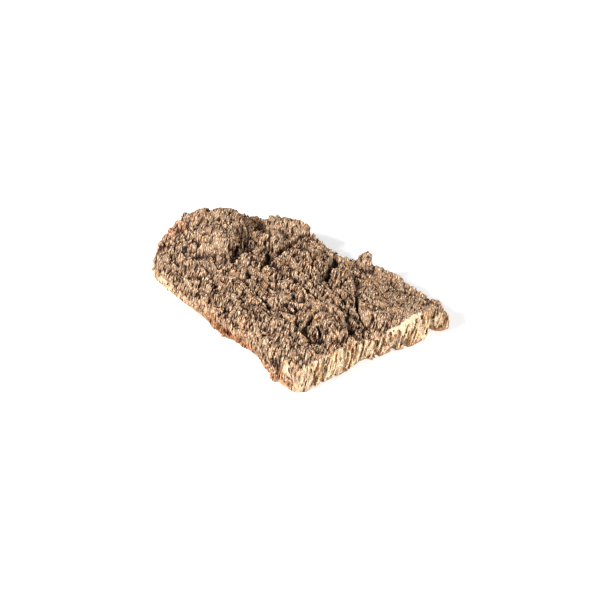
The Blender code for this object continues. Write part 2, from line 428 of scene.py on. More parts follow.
# %% Broad swellings
SWELLINGS = [  # name, rise, middle x and y, reach along x and y
    ("far_lobe", 5.0, -135, -20, 13, 13),
    ("hump_top", 4.0, -121, -5, 11, 11),
    ("hump_crest", 6.0, -108, 10, 12, 9),
    ("worn_far_corner", -5.0, -132, -46, 12, 12),
    ("back_knoll", 5.0, -92, 47, 14, 9),
    ("far_knoll", 4.0, -110, 56, 10, 9),
    ("back_notch", -5.0, -64, 62, 14, 9),
    ("basin", -5.0, -94, 31, 20, 9),
    ("saddle", -3.0, -50, 0, 12, 10),
    ("far_back_edge", 3.0, -14, 84, 34, 10),
    ("near_back_edge", 3.0, 66, 82, 34, 10),
]
for _, rise, x, y, reach_x, reach_y in SWELLINGS:
    height_map += rise * np.exp(-(((MAP_X - x) / reach_x) ** 2) - ((MAP_Y - y) / reach_y) ** 2)
print(len(SWELLINGS), "swellings, heights up to", round(float(height_map.max()), 1), "mm")

# %% Calm rim, pits, and the seat of the knob
rim_calm = ramp(MAP_X, 114.0, 126.0) * ramp(MAP_Y, -10.0, 4.0) * (1 - ramp(MAP_Y, 60.0, 70.0))
height_map += 0.95 * rim_calm * (blurred(height_map, 9.0) - height_map)
along, across = across_grain(MAP_X, MAP_Y)
pits = ramp(soft_noise((along + wander) / 8, (across + wander) / 4, flat, 31), 0.62, 0.74)
height_map -= 4.0 * pits * (1 - 0.6 * calm)
KNOB_X, KNOB_Y, SEAT_REACH = 37, 78, 11
knob_seat = np.exp(-((np.hypot(MAP_X - KNOB_X, MAP_Y - KNOB_Y) / SEAT_REACH) ** 4))
height_map -= knob_seat * (height_map + 3.0)
print("pits cover", round(float(pits.mean()), 3), "of the plan")

# %% Press the heights into the field
height_map = np.clip(height_map, -10.0, 9.5)  # within the band where the distances are known
upward = ramp(facing_up, 0.35, 0.9)
field -= upward * height_map[:, :, None]
print("heights from", round(float(height_map.min()), 1), "to", round(float(height_map.max()), 1), "mm")

# %% [markdown]
# ## Where the sawn end's face lies
#
# The bevel and the worn foot that come later follow the sawn end's own edges, so those are found
# first, in the field as it stands now: the outermost bark along X for each Y, and the highest bark
# just behind it. Both are softened, because a saw doesn't follow every chip.


# %% Find the rim of the sawn end
def outermost(line, places):
    """The last place along a line of voxels that is still inside the bark."""
    return places[np.nonzero(line < 0)[0][-1]] if (line < 0).any() else places[0]


mid_height = int(np.searchsorted(Z, 14.0))
sawn_x = blurred(np.array([outermost(field[:, j, mid_height], X) for j in range(len(Y))]), 5.0)
rim_z = np.array([
    outermost(field[int(np.searchsorted(X, sawn_x[j] - 5.0)), j, :], Z) for j in range(len(Y))
])
BEVEL_WIDTH = 6.0
bevel_edge = blurred(sawn_x + blurred(rim_z, 4.0), 3.0) - BEVEL_WIDTH
print("sawn end at x =", sawn_x.min(), "to", sawn_x.max(), "mm")

# %% [markdown]
# ## The knob, and hollows that run under the bark
#
# A small knob stands on the back edge and is built up from three lumpy balls. The deepest shadows
# are real holes: a cave under the lip of the knotted hump, two slots beside the ridge, a pit near the
# sawn end, and the fissure that all but parts the corner chunk. Each is carved as a chain of balls
# along a line. A tunnel runs sideways under a ledge, and a slot is open above.

# %% Name the hollows
HOLLOWS = [  # name, open above, line of (x, y, z), radius
    ("cave", False, [(-62, -15, 31), (-76, -18, 29), (-90, -20, 31)], 8.0),
    ("cave_mouth", True, [(-58, -26, 26), (-62, -14, 22), (-61, -3, 24)], 6.5),
    ("slot_below_spur", True, [(-43, 11, 25), (-34, 1, 18), (-26, -10, 23)], 5.0),
    ("slot_tail", True, [(-31, -7, 29), (-18, -22, 31)], 1.8),
    ("slot_dot", True, [(-22, -32, 28), (-18, -37, 28)], 2.6),
    ("slot_below_ridge", True, [(-34, 19, 25), (-38, 32, 18), (-39, 46, 24)], 5.0),
    ("ridge_crack", True, [(-42, 46, 29), (-37, 62, 31)], 1.8),
    ("plate_gap", True, [(5, 34, 29), (0, 47, 26), (-3, 57, 28)], 2.6),
    ("dark_spot", True, [(29, 34, 24), (31, 26, 24)], 3.8),
    ("small_slot", True, [(0, -4, 28), (5, -10, 28)], 1.8),
    ("end_crack", True, [(70, 39, 28), (86, 27, 26), (102, 14, 26)], 1.9),
    ("end_crack_tail", True, [(102, 14, 27), (121, 7, 27), (137, 5, 26)], 1.1),
    ("plate_hole", True, [(95, 31, 29), (99, 33, 28)], 2.2),
    ("plate_split", True, [(118, 18, 32), (119, 34, 32)], 0.9),
    ("pit", True, [(119, -46, 26), (116, -50, 26)], 4.2),
    ("pit_tail", True, [(114, -44, 31), (103, -38, 32)], 1.8),
    ("oval_gap", True, [
        (134, -38, 31), (135, -28, 31), (129, -17, 31), (116, -8, 31), (102, -1, 31),
    ], 1.5),
    ("oval_left_gap", True, [(94, -50, 30), (88, -41, 30), (83, -30, 30)], 1.8),
    ("fissure", True, [(147, 80, 30), (141, 76, 20), (144, 78, 0)], 3.0),
    ("fissure_root", True, [(128, 80, 26), (136, 78, 12)], 2.0),
]
print(len(HOLLOWS), "named hollows, the widest", 2 * max(radius for *_, radius in HOLLOWS), "mm across")

# %% Lay out the slots of the sawn end
FLUTE_LEAN = 0.26  # how far the flutes and slots lean across for each millimetre up
SAWN_SLOTS = [  # y at the foot, half width, lower and upper end
    (-84, 1.2, 6, 26), (-79, 1.5, 0, 18), (-74, 2.0, 0, 22), (-69, 1.2, 8, 30), (-64, 1.7, 0, 30),
    (-57, 1.2, 10, 28), (-48, 1.9, 0, 24), (-43, 1.2, 12, 34), (-37, 1.4, 4, 24), (-31, 1.9, 2, 34),
    (-25, 1.4, 10, 34), (-20, 1.1, 4, 30), (-15, 2.1, 4, 34), (-9, 1.4, 6, 30), (1, 2.4, 0, 20),
    (7, 2.2, 0, 22), (17, 1.1, 12, 24), (27, 2.4, 0, 22), (33, 1.4, 8, 25), (40, 2.6, 0, 24),
    (58, 1.0, 10, 26), (64, 1.5, 4, 26), (86, 1.2, 6, 22),
]


def sawn_face(y, z):
    """How far out the sawn end's face is at this place."""
    column = field[:, int(np.searchsorted(Y, y)), int(np.searchsorted(Z, max(z, 2.0)))]
    return float(X[np.nonzero(column < 0)[0][-1]])


sawn_slot_lines = []
for foot_y, radius, low_z, high_z in SAWN_SLOTS:
    for depth in (0.0, 2.4):
        line = []
        for z in np.linspace(low_z, high_z, 4):
            y = foot_y + FLUTE_LEAN * z
            line.append((sawn_face(y, z) - depth, y, z))
        sawn_slot_lines.append((line, radius))
print(len(SAWN_SLOTS), "slots, each carved at", len(sawn_slot_lines) // len(SAWN_SLOTS), "depths")


# %% Build the knob up
def ball(centre, radius):
    """Adds a lumpy ball to the field."""
    spans = tuple(
        slice(*np.searchsorted(places, (at - radius - 4, at + radius + 4)))
        for places, at in zip((X, Y, Z), centre)
    )
    x, y, z = np.meshgrid(X[spans[0]], Y[spans[1]], Z[spans[2]], indexing="ij")
    gap = np.sqrt((x - centre[0]) ** 2 + (y - centre[1]) ** 2 + (z - centre[2]) ** 2)
    lumps = 1.2 * soft_noise(x / 4, y / 4, z / 4, 30)
    np.minimum(field[spans], gap - radius + lumps, out=field[spans])


KNOB = [((41, 79, 40), 6.0), ((37, 76, 35), 6.0), ((42, 76, 31), 8.0)]  # middle and radius of each ball
inside_before = int((field < 0).sum())
for centre, radius in KNOB:
    ball(centre, radius)
grown = (int((field < 0).sum()) - inside_before) * VOXEL**3 / 1000.0
print("the knob adds", round(grown, 1), "cm3")


# %% Carve the hollows
def carve(open_above, line, radius):
    """Cuts a chain of balls of this radius out of the field, and all above it if it is open above."""
    reach = radius + 4.0
    points = np.array(line, np.float32)
    spans = []
    for axis, places in enumerate((X, Y, Z)):
        start, stop = points[:, axis].min() - reach, points[:, axis].max() + reach
        if axis == 2 and open_above:
            stop = places[-1]
        spans.append(slice(*np.searchsorted(places, (start, stop))))
    x, y, z = np.meshgrid(X[spans[0]], Y[spans[1]], Z[spans[2]], indexing="ij")
    wobble = 0.35 * radius * soft_noise(x / 4, y / 4, z / 6, 8)
    gap = np.full(x.shape, 1e9, np.float32)
    for a, b in zip(points, points[1:]):
        step = b - a
        run = step * (1, 1, 0) if open_above else step
        forward = (x - a[0]) * run[0] + (y - a[1]) * run[1] + (z - a[2]) * run[2]
        t = np.clip(forward / float(run @ run), 0.0, 1.0)
        dx, dy, dz = x - a[0] - t * step[0], y - a[1] - t * step[1], z - a[2] - t * step[2]
        if open_above:
            dz = np.minimum(dz, 0.0)
        gap = np.minimum(gap, np.sqrt(dx * dx + dy * dy + dz * dz))
    part = field[tuple(spans)]
    np.maximum(part, radius - gap + wobble, out=part)


inside_before = int((field < 0).sum())
for _, open_above, line, radius in HOLLOWS:
    carve(open_above, line, radius)
for line, radius in sawn_slot_lines:
    carve(False, line, radius)
carved = (inside_before - int((field < 0).sum())) * VOXEL**3 / 1000.0
print("the hollows take away", round(carved, 1), "cm3")

# %% [markdown]
# ## Flutes, slots and torn edges
#
# Where the cork was sawn or torn through, it shows the trunk's radial structure: upright flutes that
# lean a little, and dark slots where the lenticels, the bark's breathing channels, were cut along.
# The front edge is an older break, so there the flutes are crumbled into chips again.


# %% Flutes and lenticel slots
def upright_relief(x, y, z, bend):
    """Relief of the cut cork at points whose place is leaned upright, and its slot mask."""
    buttress = soft_noise(x / 9, y / 7, z / 40, 25)
    buttress = buttress + 0.6 * soft_noise(x / 4, y / 4, z / 20, 26)
    flute, flute_edge = cells((x + bend) / 2.7, (y + bend) / 2.5, z / 16, 12)
    streak = soft_noise(x / 2.0, y / 1.9, z / 12, 13)
    streak = streak + 0.5 * soft_noise(x / 5, y / 5, z / 9, 14)
    slot = ramp(streak - 0.25 * ramp(buttress, 0.2, 0.7), 0.3, 0.45)
    seam = 1 - ramp(flute_edge, 0.0, 0.2)
    return 1.6 * buttress + 0.9 * (flute - 0.5) - 0.5 * seam - 3.4 * slot, slot


sample, _ = upright_relief(*np.random.default_rng(8).uniform(0, 50, (3, 2000)), 0.0)
print("flutes and slots run from", round(float(sample.min()), 1), "to", round(float(sample.max()), 1), "mm")


# %% Press the small relief into the field
def small_relief(x, y, z, up):
    """Relief in millimetres at each point, with its chip number, slot mask and wall mask."""
    bend = 1.2 * soft_noise(x / 7, y / 7, z / 7, 9)
    wall = 1 - ramp(np.abs(up), 0.35, 0.65)
    crust = ramp(up, 0.35, 0.65)
    sawn = ramp(x, 118.0, 134.0)
    lean_x, lean_y = x - 0.25 * z * (1 - sawn), y - FLUTE_LEAN * z * sawn
    block, block_edge = cells((x + 2 * bend) / 8.5, (lean_y + bend) / 6.5, z / 7, 9)
    flake, _ = cells(x / 1.9, lean_y / 1.7, z / 2.8, 11)
    rough = crust * (0.3 * (block - 0.5) + 0.2 * (flake - 0.5))
    grooved, slot = upright_relief(lean_x, lean_y, z, bend)
    crumbled = 3.0 * (block - 0.5) - 1.0 * (1 - ramp(block_edge, 0.0, 0.2)) + 1.4 * (flake - 0.5)
    rough += crust * (1 - ramp(up, 0.6, 0.92)) * 0.35 * crumbled
    lip = ramp(-z, -9.0, 0.0) * 3.0 * soft_noise(x / 6, y / 5, z / 30, 27)
    rough += wall * (grooved * (0.45 + 0.55 * sawn) + crumbled * (0.9 - 0.75 * sawn) + lip)
    _, chip = chip_relief(x, y, 2.2 * soft_noise(x / 8, y / 8, np.zeros_like(z), 19))
    return rough, chip, slot, wall


near = np.abs(field) < 5.5
places = [axis[i] for axis, i in zip((X, Y, Z), np.nonzero(near))]
relief, _, _, _ = small_relief(*places, facing_up[near])
field[near] -= relief
print(near.sum(), "voxels given small relief, from", relief.min(), "to", relief.max(), "mm")

# %% [markdown]
# ## The slanted cut and the worn foot of the sawn end
#
# Along part of the sawn end's upper edge the saw or knife ran out at a slant and left a pale bevel.
# It was cut after the bark had weathered, so it is cut after the relief: everything past one
# slightly wavy plane is taken away. The end's lower edge has worn back in two places, and a second
# plane, which slants in under the end, takes that away.


# %% Cut the bevel and the worn foot
def past_bevel(x, y, z):
    """How far past the slanted cut a point lies, in millimetres."""
    edge = np.interp(y, Y, bevel_edge)
    edge = edge + 10.0 * (1 - ramp(y, -4.0, 30.0)) + 60.0 * ramp(y, 58.0, 72.0)
    waver = 0.4 * soft_noise(x / 9, y / 6, z / 9, 17)
    return ((x + z - edge) / math.sqrt(2.0) + waver).astype(np.float32)


def past_foot(x, y, z):
    """The same for the worn lower edge of the sawn end."""
    weight = np.maximum(ramp(y, -84.0, -60.0) * (1 - ramp(y, -12.0, 0.0)), ramp(y, 58.0, 70.0))
    inset = 3.5 * weight + 1.0 * soft_noise(x / 9, y / 5, z / 9, 18) - 1.0
    return (0.8 * (x - np.interp(y, Y, sawn_x) + inset) - 0.6 * z).astype(np.float32)


end = slice(int(np.searchsorted(X, 112.0)), len(X))
end_places = np.meshgrid(X[end], Y, Z, indexing="ij")
for past_cut in (past_bevel, past_foot):
    inside_before = int((field[end] < 0).sum())
    np.maximum(field[end], past_cut(*end_places), out=field[end])
    print(past_cut.__name__, "took away", inside_before - int((field[end] < 0).sum()), "voxels")
del end_places

# %% [markdown]
# ## The inner face
#
# The slab lies on what was the inside of the bark. It was pressed flat and is only lightly ribbed,
# so its relief is cut upwards from the plane it rests on and never hangs below it.

# %% Cut the ribs of the inner face and keep everything above the floor
ribs = 0.35 + 0.35 * layered_noise(MAP_X / 18, MAP_Y / 2.6, flat, 15)
ribs = np.clip(ribs + 0.3 * soft_noise(MAP_X / 9, MAP_Y / 9, flat, 16), 0.0, 1.1)
field = np.maximum(field, ribs[:, :, None] - Z[None, None, :])
print("ribs", round(float(ribs.mean()), 2), "mm deep on average")

# %% [markdown]
# ## Drawing the surface
#
# The library that read the slab into voxels can also draw a mesh of four-sided faces where the field
# is zero. Carving and relief leave a few loose crumbs in the air, and those aren't part of the slab, so
# only the largest connected piece is kept. Connected points are found by giving each one the lowest
# number among its neighbours, over and over, until nothing changes.

# %% Draw the surface where the field is zero
vdb = openvdb.FloatGrid(3.0)
vdb.copyFromArray(field)
vdb.transform = openvdb.createLinearTransform(voxelSize=VOXEL)
points, quads = vdb.convertToQuads(0.0)
points += low * VOXEL
print(len(points), "points and", len(quads), "quads before tidying")


# %% Keep only the slab itself, without loose crumbs
def largest_piece(count, faces):
    """A mask of the points in the largest connected piece."""
    label = np.arange(count)
    while True:
        least = label[faces].min(1)
        before = label.copy()
        for corner in range(faces.shape[1]):
            np.minimum.at(label, faces[:, corner], least)
        label = label[label]
        if (label == before).all():
            break
    names, counts = np.unique(label, return_counts=True)
    return label == names[counts.argmax()]


kept = largest_piece(len(points), quads)
quads = quads[kept[quads[:, 0]]]
renumber = np.cumsum(kept) - 1
points, quads = points[kept], renumber[quads]
print(len(points), "points and", len(quads), "quads in the slab")

# %% [markdown]
# ## Masks that the finish reads
#
# The colours have to follow the shape: shade is painted into the gaps and light onto proud places, edges
# wear pale, slots are dark. So each point of the mesh carries a few numbers, measured in the field before
# it is put away. How proud a point stands is the mean of the field around it: a flat place has as much room
# outside it as bark inside, a peak has more room and a pit has less.


# %% Read the field at any point
def sampled(block, at):
    """The block's value at any points, blended between its eight nearest voxels."""
    place = at / VOXEL - low
    base = np.clip(np.floor(place).astype(int), 0, np.array(block.shape) - 2)
    t = (place - base).astype(np.float32)
    total = 0.0
    for dx in (0, 1):
        for dy in (0, 1):
            for dz in (0, 1):
                weight = (t[:, 0] if dx else 1 - t[:, 0]) * (t[:, 1] if dy else 1 - t[:, 1])
                weight = weight * (t[:, 2] if dz else 1 - t[:, 2])
                total = total + weight * block[base[:, 0] + dx, base[:, 1] + dy, base[:, 2] + dz]
    return total


print("the field at the mesh's points is at most", round(float(np.abs(sampled(field, points)).max()), 2))

# %% Measure the masks
x, y, z = (points[:, axis].astype(np.float32) for axis in range(3))
up = sampled(facing_up, points)
_, chip, slot, cut = small_relief(x, y, z, up)
bevel = (1 - ramp(np.abs(past_bevel(x, y, z)), 0.3, 0.7)) * ramp(x, 116.0, 122.0) * ramp(z, 14.0, 18.0)
map_i = np.clip(np.round(x / VOXEL).astype(int) - low[0], 0, len(X) - 1)
map_j = np.clip(np.round(y / VOXEL).astype(int) - low[1], 0, len(Y) - 1)
near_corner = ramp(x, 66.0, 90.0) * (1 - ramp(y, -88.0, -74.0))
fringe = z + 6.0 * soft_noise(x / 6, y / 6, z / 9, 28) - 0.04 * x + 15.0 * near_corner
sawn = ramp(x - 8.0 * (1 - ramp(y, -94.0, -80.0)), 120.0, 134.0)
fresh = np.maximum.reduce([sawn, 0.8 * ramp(-x, 20.0, 80.0), np.full_like(x, 0.3)])
far_hump = ramp(-x, 30.0, 90.0) * ramp(y, -60.0, -35.0)
back_flat = ramp(x, 40.0, 60.0) * ramp(y, 30.0, 46.0)
far_corner_rust = 0.6 * ramp(-x, 118.0, 142.0) * ramp(-y, 20.0, 50.0)
front_foot_rust = 0.8 * (1 - ramp(z, 8.0, 24.0)) * ramp(x, -45.0, 5.0)
front_foot_rust = front_foot_rust * (1 - 0.3 * ramp(x, 40.0, 80.0)) * (1 - sawn)
masks = {
    # proud and proud_wide steer painted shade in low places and painted light on proud ones
    "proud": sampled(blurred(np.clip(field, -2.5, 2.5), 2.4), points) / 1.2,
    "proud_wide": sampled(blurred(np.clip(field, -6.0, 6.0), 7.0), points) / 2.5,
    "chip": chip,
    "bevel": bevel,
    "slot": slot * cut * (1 - bevel),
    # edge: worn rims, and painted shade in the gap at a ledge's foot
    "edge": worn_rim_and_shade_map[map_i, map_j] * ramp(up, 0.2, 0.5) * (1 - bevel),
    "cut": np.maximum(bevel, cut * np.maximum(sawn, 1 - ramp(fringe, 12.0, 23.0))),
    "fresh": fresh * (1 - 0.75 * near_corner),
    "pale": np.maximum(far_hump, 2.2 * back_flat),
    "rust": np.maximum(far_corner_rust, front_foot_rust),
}
for name, values in masks.items():
    print(name, np.round(np.percentile(values, (2, 25, 50, 75, 98)), 2))

# %% [markdown]
# ## The mesh and its unwrapping
#
# The mesh gets the points, the faces and the masks. Its texture map is laid out one view at a time: the
# rugged face, the inner face and the four sides are each seen straight on and set side by side, because an
# automatic unwrap would shatter over every chip.

# %% Make the mesh
mesh = bpy.data.meshes.new("cork_bark_slab")
mesh.from_pydata((points / MM).tolist(), [], quads.tolist())
mesh.polygons.foreach_set("use_smooth", np.ones(len(quads), bool))
for name, values in masks.items():
    layer = mesh.attributes.new(name, "FLOAT", "POINT")
    layer.data.foreach_set("value", np.ascontiguousarray(values, np.float32))
bark = bpy.data.objects.new("cork_bark_slab", mesh)
bpy.context.scene.collection.objects.link(bark)
mesh.update()
across_corner = np.cross(points[quads[:, 1]], points[quads[:, 2]])
signed_volume = np.einsum("ij,ij->i", points[quads[:, 0]], across_corner).sum()
if signed_volume < 0:  # the faces point inwards
    mesh.flip_normals()
print("faces turned outwards:", signed_volume < 0, "with", len(mesh.polygons), "faces")


# %% Lay out the texture map
GAP, INNER_SCALE = 3.0, 0.5  # millimetres between the views, and the inner face's smaller scale
start = points.min(0)
span = points.max(0) - start
sheet_width = span[0] + 2 * span[2] + 3 * GAP
sheet_height = span[1] + 2 * span[2] + INNER_SCALE * span[1] + 4 * GAP
sheet = max(sheet_width, sheet_height)
middle = points[quads].mean(1)
face_up = sampled(facing_up, middle)
lean_x, lean_y = sampled(slope_x, middle), sampled(slope_y, middle)
OUTER, INNER = 0, 1  # the rugged face and the inner face; 2 to 5 are the four sides
side = np.where(np.abs(lean_y) > np.abs(lean_x), np.where(lean_y < 0, 2, 3), np.where(lean_x > 0, 4, 5))
group = np.select([face_up > 0.4, face_up < -0.4], [OUTER, INNER], side)
px, py, pz = (points[:, axis] - start[axis] for axis in range(3))
above = span[1] + GAP
beside = span[0] + GAP
layouts = [  # where each view's points land on the sheet, in millimetres
    (px, py),
    (px * INNER_SCALE, above + 2 * (span[2] + GAP) + py * INNER_SCALE),
    (px, above + pz),
    (px, above + span[2] + GAP + pz),
    (beside + pz, py),
    (beside + span[2] + GAP + pz, py),
]
map_u = np.stack([u for u, _ in layouts])
map_v = np.stack([v for _, v in layouts])
loops = np.empty((len(quads), 4, 2), np.float32)
corner = np.empty(len(quads) * 4, np.int32)
mesh.loops.foreach_get("vertex_index", corner)
corner = corner.reshape(-1, 4)
loops[:, :, 0] = (map_u[group[:, None], corner] + GAP / 2) / sheet
loops[:, :, 1] = (map_v[group[:, None], corner] + GAP / 2) / sheet
uv_map = mesh.uv_layers.new(name="OFBake")
uv_map.uv.foreach_set("vector", loops.ravel())
print("texture sheet", round(float(sheet)), "mm square; faces in each view", np.bincount(group))

# %% [markdown]
# ## Tools for the finish
#
# The finish is built from a few effects that repeat: fine cork grain, slanting chips, patches of another
# tint, and painted shade in the gaps. Each is a small node group with its own inputs, placed in every
# material that needs it. A few short helpers keep the building of nodes readable.


# %% Node helpers
def fill_sockets(tree, node, sockets):
    """Gives each named input a value, or a link where it is handed another node's output."""
    for name, value in sockets.items():
        if isinstance(value, bpy.types.NodeSocket):
            tree.links.new(value, node.inputs[name])
        else:
            node.inputs[name].default_value = value


def shader_node(tree, kind, sockets=None, **settings):
    """Adds a node, sets its properties, and fills its sockets."""
    node = tree.nodes.new(kind)
    for name, value in settings.items():
        setattr(node, name, value)
    fill_sockets(tree, node, sockets or {})
    return node


print("the helpers that make nodes:", shader_node.__name__, fill_sockets.__name__)


# %% Joining values
def maths(tree, operation, first, second):
    """The sum, difference or product of two values."""
    return shader_node(tree, "ShaderNodeMath", {0: first, 1: second}, operation=operation).outputs[0]


def weighed(tree, parts, start=0.0):
    """The sum of a few values, each times its weight."""
    total = start
    for value, weight in parts:
        sockets = {0: value, 1: weight, 2: total}
        total = shader_node(tree, "ShaderNodeMath", sockets, operation="MULTIPLY_ADD").outputs[0]
    return total


def fit_range(tree, value, low_in, high_in, low_out=0.0, high_out=1.0):
    """The value moved from one range to another, and held within it."""
    sockets = {"Value": value, "From Min": low_in, "From Max": high_in}
    sockets |= {"To Min": low_out, "To Max": high_out}
    return shader_node(tree, "ShaderNodeMapRange", sockets).outputs["Result"]


print("the helpers that join values:", maths.__name__, weighed.__name__, fit_range.__name__)


# %% Colour helpers
def colour(red, green, blue):
    """An opaque colour."""
    return (red, green, blue, 1.0)


def blend(tree, factor, first, second, mode="MIX"):
    """A colour part-way from the first to the second."""
    sockets = {0: factor, 6: first, 7: second}
    return shader_node(tree, "ShaderNodeMix", sockets, data_type="RGBA", blend_type=mode).outputs[2]


def tone_ramp(tree, value, stops):
    """The colour that a list of (place, colour) stops gives for a value."""
    node = shader_node(tree, "ShaderNodeValToRGB", {"Fac": value})
    while len(node.color_ramp.elements) < len(stops):
        node.color_ramp.elements.new(0.5)
    for element, (place, tint) in zip(node.color_ramp.elements, stops):
        element.position, element.color = place, tint
    return node.outputs["Color"]


def mask(tree, name):
    """One of the numbers that the mesh carries at each point."""
    return shader_node(tree, "ShaderNodeAttribute", attribute_name=name).outputs["Fac"]


print("the masks that a finish can read:", *masks)


# %% Node group helpers
def new_group(name, inputs, outputs):
    """An empty node group with these named sockets."""
    tree = bpy.data.node_groups.new(name, "ShaderNodeTree")
    for socket, (kind, value) in inputs.items():
        made = tree.interface.new_socket(socket, in_out="INPUT", socket_type="NodeSocket" + kind)
        made.default_value = value
    for socket, kind in outputs.items():
        tree.interface.new_socket(socket, in_out="OUTPUT", socket_type="NodeSocket" + kind)
    return tree, tree.nodes.new("NodeGroupInput").outputs, tree.nodes.new("NodeGroupOutput").inputs


def place_group(tree, group_tree, sockets):
    """Puts a node group into a material with its own values, and hands back its outputs."""
    node = tree.nodes.new("ShaderNodeGroup")
    node.node_tree = group_tree
    fill_sockets(tree, node, sockets)
    return node.outputs


print("node groups so far:", len(bpy.data.node_groups))

# %% [markdown]
# ## Cork grain
#
# Cork is made of tiny cells, and its surface is dotted with pores. One noise gives the speckle of
# light and dark, and small Voronoi cells add the pores' relief. Stretch draws the grain out along
# one way, for a face where the fibres run.

# %% Group: fine cork grain
grain_group, enter, leave = new_group(
    "Cork grain",
    {"Size": ("Float", 900.0), "Stretch": ("Vector", (1.0, 1.0, 1.0))},
    {"Speckle": "Float", "Height": "Float"},
)
tree = grain_group
place = shader_node(tree, "ShaderNodeTexCoord").outputs["Object"]
sockets = {0: place, 1: enter["Stretch"]}
place = shader_node(tree, "ShaderNodeVectorMath", sockets, operation="MULTIPLY").outputs[0]
sockets = {"Vector": place, "Scale": enter["Size"]}
fine_sockets = sockets | {"Detail": 4.0, "Roughness": 0.65}
fine = shader_node(tree, "ShaderNodeTexNoise", fine_sockets).outputs["Fac"]
pores = shader_node(tree, "ShaderNodeTexVoronoi", sockets).outputs["Distance"]
tree.links.new(fit_range(tree, fine, 0.3, 0.7), leave["Speckle"])
tree.links.new(maths(tree, "ADD", fine, pores), leave["Height"])
print(tree.name, "is a group of", len(tree.nodes), "nodes")

# %% [markdown]
# ## Slanting chips
#
# Flakes too small to be mesh are painted and bumped. Long Voronoi cells, turned the way the flakes lie,
# give each flake one tone of its own and a gap round it, which the weathered finish paints dark as shade,
# and a soft drift bends their rows. The cut faces use the same group stood upright, as streaks.

# %% Group: slanting chips
chips_group, enter, leave = new_group(
    "Slanting chips",
    {
        "Size": ("Float", 900.0),
        "Turn": ("Vector", (0.0, 0.0, 0.0)),
        "Stretch": ("Vector", (4.0, 1.0, 1.0)),
    },
    {"Tone": "Float", "Gap": "Float", "Height": "Float"},
)
tree = chips_group
place = shader_node(tree, "ShaderNodeTexCoord").outputs["Object"]
drift = shader_node(tree, "ShaderNodeTexNoise", {"Vector": place, "Scale": 130.0, "Detail": 2.0})
sockets = {0: drift.outputs["Color"], "Scale": 0.0015}
drift = shader_node(tree, "ShaderNodeVectorMath", sockets, operation="SCALE").outputs[0]
place = shader_node(tree, "ShaderNodeVectorMath", {0: place, 1: drift}, operation="ADD").outputs[0]
sockets = {"Vector": place, "Rotation": enter["Turn"], "Scale": enter["Stretch"]}
place = shader_node(tree, "ShaderNodeMapping", sockets, vector_type="TEXTURE").outputs[0]
print(tree.name, "takes", len(tree.nodes), "nodes to turn and stretch the chips")

# %% Chips: a tone inside each one and a gap round it
sockets = {"Vector": place, "Scale": enter["Size"]}
inside = shader_node(tree, "ShaderNodeTexVoronoi", sockets).outputs["Color"]
walls = shader_node(tree, "ShaderNodeTexVoronoi", sockets, feature="DISTANCE_TO_EDGE").outputs["Distance"]
fibre_sockets = sockets | {"Detail": 1.0, "Roughness": 0.5}
fibres = shader_node(tree, "ShaderNodeTexNoise", fibre_sockets).outputs["Fac"]
tone = shader_node(tree, "ShaderNodeSeparateColor", {0: inside}).outputs["Red"]
gap = fit_range(tree, walls, 0.26, 0.06)
mixed = maths(tree, "MULTIPLY", maths(tree, "ADD", fit_range(tree, fibres, 0.3, 0.7), tone), 0.5)
tree.links.new(mixed, leave["Tone"])
tree.links.new(gap, leave["Gap"])
tree.links.new(maths(tree, "SUBTRACT", mixed, gap), leave["Height"])
print(tree.name, "is a group of", len(tree.nodes), "nodes")

# %% [markdown]
# ## Patches of another tint
#
# Lichen, old algae and iron from the soil tint bark in ragged patches. The tint multiplies the colour
# under it, so the flakes still show through, as they do through a stain. Place moves the pattern, so
# that each tint has patches of its own.

# %% Group: patches of another tint
patch_group, enter, leave = new_group(
    "Tint patches",
    {
        "Color": ("Color", colour(0.5, 0.5, 0.5)),
        "Tint": ("Color", colour(0.5, 0.5, 0.5)),
        "Size": ("Float", 60.0),
        "Cover": ("Float", 0.5),
        "Strength": ("Float", 0.5),
        "Place": ("Float", 0.0),
    },
    {"Color": "Color"},
)
tree = patch_group
place = shader_node(tree, "ShaderNodeTexCoord").outputs["Object"]
sockets = {"Vector": place, "W": enter["Place"], "Scale": enter["Size"], "Detail": 5.0, "Roughness": 0.7}
spread = shader_node(tree, "ShaderNodeTexNoise", sockets, noise_dimensions="4D").outputs["Fac"]
edge = maths(tree, "SUBTRACT", 1.0, enter["Cover"])
cover = fit_range(tree, spread, edge, maths(tree, "ADD", edge, 0.12))
cover = maths(tree, "MULTIPLY", cover, enter["Strength"])
tree.links.new(blend(tree, cover, enter["Color"], enter["Tint"], "MULTIPLY"), leave["Color"])
print(tree.name, "is a group of", len(tree.nodes), "nodes")


def patched(tree, surface, patches):
    """A colour with patches of other tints laid over it, one after another."""
    for tint, size, cover, strength, place in patches:
        sockets = {"Color": surface, "Tint": tint, "Size": size, "Cover": cover}
        sockets |= {"Strength": strength, "Place": place}
        surface = place_group(tree, patch_group, sockets)["Color"]
    return surface


# %% [markdown]
# ## Painted shade in the gaps
#
# Shade is painted into the gaps and hollows: the colour is darkened where the surface lies lower than what
# is round it. The masks hold how proud each point stands, so the painted shade starts at one level and is
# full at a lower one.

# %% Group: painted shade in the gaps
gap_shade_group, enter, leave = new_group(
    "Gap shade",
    {
        "Color": ("Color", colour(0.5, 0.5, 0.5)),
        "Shade": ("Color", colour(0.03, 0.02, 0.01)),
        "Proud": ("Float", 0.0),
        "Start": ("Float", 0.1),
        "Full": ("Float", -0.6),
        "Amount": ("Float", 0.9),
    },
    {"Color": "Color"},
)
tree = gap_shade_group
shade_share = fit_range(tree, enter["Proud"], enter["Start"], enter["Full"])
shade_share = maths(tree, "MULTIPLY", shade_share, enter["Amount"])
tree.links.new(blend(tree, shade_share, enter["Color"], enter["Shade"]), leave["Color"])
print(tree.name, "is a group of", len(tree.nodes), "nodes")


